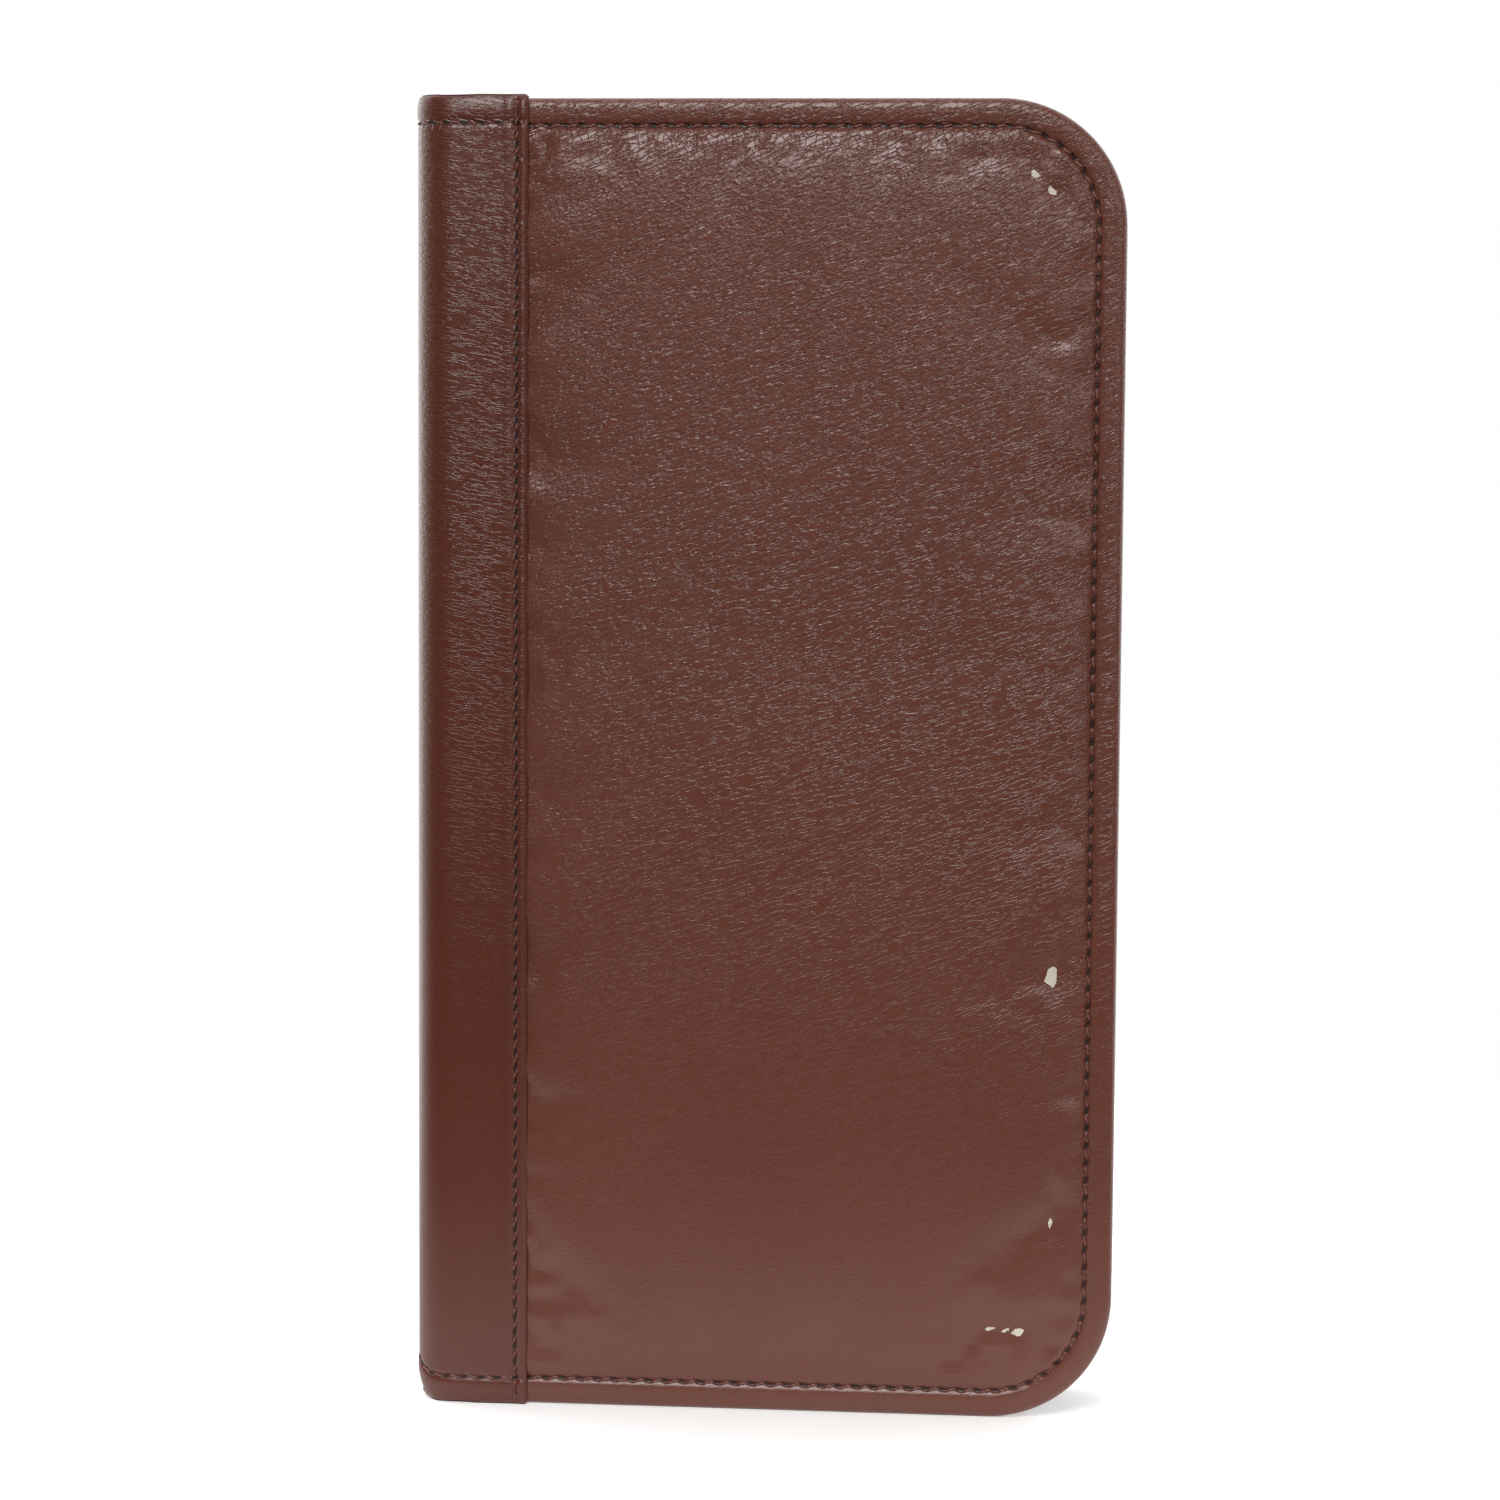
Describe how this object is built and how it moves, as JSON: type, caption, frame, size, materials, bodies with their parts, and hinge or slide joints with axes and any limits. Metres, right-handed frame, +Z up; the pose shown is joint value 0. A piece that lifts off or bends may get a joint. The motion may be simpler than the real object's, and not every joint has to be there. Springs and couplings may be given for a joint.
{
  "type": "business card case",
  "caption": "Book-style leather case for business cards: padded covers, a wrapped spine, a ring mechanism and clear pocket pages.",
  "frame": {"origin": "middle of the footprint, at the bottom end that the closed case stands on", "axes": "+Z up along the spine, +X from the spine to the fore edge, +Y from the front cover to the back cover"},
  "size_m": [0.1332, 0.03, 0.2486],
  "materials": {
    "leather": "smooth semi-gloss, dark brown full-grain",
    "pocket_leather": "smooth satin, dark brown",
    "lining": "woven, dark brown",
    "foam": "open-cell foam, sealed inside",
    "board": "grey board, sealed inside",
    "thread": "waxed, dark red-brown",
    "nickel_steel": "nickel-plated",
    "clear_film": "clear, glossy"
  },
  "bodies": {
    "spine": {"spine_strip": "leather", "spine_board": "board", "spine_lining": "lining", "spine_stitching": "thread", "ring_plate": "nickel_steel", "ring_rivets": "nickel_steel"},
    "front_cover": {"front_cover_leather": "leather", "front_padding": "foam", "front_board": "board", "front_lining": "lining", "front_stitching": "thread", "front_strip_lap": "leather", "front_inner_pocket": "pocket_leather", "front_card_slot": "pocket_leather"},
    "back_cover": {"back_cover_leather": "leather", "back_padding": "foam", "back_board": "board", "back_lining": "lining", "back_stitching": "thread", "back_strip_lap": "leather", "back_note_pocket": "pocket_leather"},
    "front_leaf": {"front_ring_leaf": "nickel_steel", "front_half_rings": "nickel_steel"},
    "back_leaf": {"back_ring_leaf": "nickel_steel", "back_half_rings": "nickel_steel"},
    "top_trigger": {"top_ring_trigger": "nickel_steel"},
    "bottom_trigger": {"bottom_ring_trigger": "nickel_steel"},
    "card_page_1": {"card_page_1": "clear_film"},
    "card_page_8": {"card_page_8": "clear_film"},
    "card_page_2": {"card_page_2": "clear_film"},
    "card_page_7": {"card_page_7": "clear_film"},
    "card_page_3": {"card_page_3": "clear_film"},
    "card_page_6": {"card_page_6": "clear_film"},
    "card_page_4": {"card_page_4": "clear_film"},
    "card_page_5": {"card_page_5": "clear_film"}
  },
  "joints": [
    {"name": "front_cover_hinge", "type": "hinge", "parent": "spine", "child": "front_cover", "pos_m": [-0.06483, -0.01239, 0], "axis": [0, 0, -1], "range_deg": [0, 90]},
    {"name": "back_cover_hinge", "type": "hinge", "parent": "spine", "child": "back_cover", "pos_m": [-0.06483, 0.01239, 0], "axis": [0, 0, 1], "range_deg": [0, 90]},
    {"name": "front_leaf_open", "type": "hinge", "parent": "spine", "child": "front_leaf", "pos_m": [-0.0627, -0.007, 0], "axis": [0, 0, -1], "range_deg": [0, 8]},
    {"name": "back_leaf_open", "type": "hinge", "parent": "spine", "child": "back_leaf", "pos_m": [-0.0627, 0.007, 0], "axis": [0, 0, 1], "range_deg": [0, 8]},
    {"name": "top_trigger_press", "type": "hinge", "parent": "spine", "child": "top_trigger", "pos_m": [-0.0623, 0, 0.2315], "axis": [0, -1, 0], "range_deg": [0, 24]},
    {"name": "bottom_trigger_press", "type": "hinge", "parent": "spine", "child": "bottom_trigger", "pos_m": [-0.0623, 0, 0.0171], "axis": [0, 1, 0], "range_deg": [0, 24]},
    {"name": "card_page_1_turn", "type": "hinge", "parent": "spine", "child": "card_page_1", "pos_m": [-0.05557, -0.00233, 0], "axis": [0, 0, -1], "range_deg": [0, 90]},
    {"name": "card_page_8_turn", "type": "hinge", "parent": "spine", "child": "card_page_8", "pos_m": [-0.05557, 0.00233, 0], "axis": [0, 0, 1], "range_deg": [0, 90]},
    {"name": "card_page_2_turn", "type": "hinge", "parent": "spine", "child": "card_page_2", "pos_m": [-0.05523, -0.00199, 0], "axis": [0, 0, -1], "range_deg": [0, 90]},
    {"name": "card_page_7_turn", "type": "hinge", "parent": "spine", "child": "card_page_7", "pos_m": [-0.05523, 0.00199, 0], "axis": [0, 0, 1], "range_deg": [0, 90]},
    {"name": "card_page_3_turn", "type": "hinge", "parent": "spine", "child": "card_page_3", "pos_m": [-0.05494, -0.0017, 0], "axis": [0, 0, -1], "range_deg": [0, 90]},
    {"name": "card_page_6_turn", "type": "hinge", "parent": "spine", "child": "card_page_6", "pos_m": [-0.05494, 0.0017, 0], "axis": [0, 0, 1], "range_deg": [0, 90]},
    {"name": "card_page_4_turn", "type": "hinge", "parent": "spine", "child": "card_page_4", "pos_m": [-0.05465, -0.00141, 0], "axis": [0, 0, -1], "range_deg": [0, 90]},
    {"name": "card_page_5_turn", "type": "hinge", "parent": "spine", "child": "card_page_5", "pos_m": [-0.05465, 0.00141, 0], "axis": [0, 0, 1], "range_deg": [0, 90]}
  ],
  "couplings": [
    {"joint": "back_leaf_open", "follows": "front_leaf_open", "ratio": 1},
    {"joint": "top_trigger_press", "follows": "front_leaf_open", "ratio": 3},
    {"joint": "bottom_trigger_press", "follows": "front_leaf_open", "ratio": 3},
    {"joint": "card_page_1_turn", "follows": "front_cover_hinge", "ratio": 1},
    {"joint": "card_page_8_turn", "follows": "back_cover_hinge", "ratio": 1},
    {"joint": "card_page_2_turn", "follows": "front_cover_hinge", "ratio": 1},
    {"joint": "card_page_7_turn", "follows": "back_cover_hinge", "ratio": 1},
    {"joint": "card_page_3_turn", "follows": "front_cover_hinge", "ratio": 1},
    {"joint": "card_page_6_turn", "follows": "back_cover_hinge", "ratio": 1},
    {"joint": "card_page_4_turn", "follows": "front_cover_hinge", "ratio": 1},
    {"joint": "card_page_5_turn", "follows": "back_cover_hinge", "ratio": 1}
  ]
}
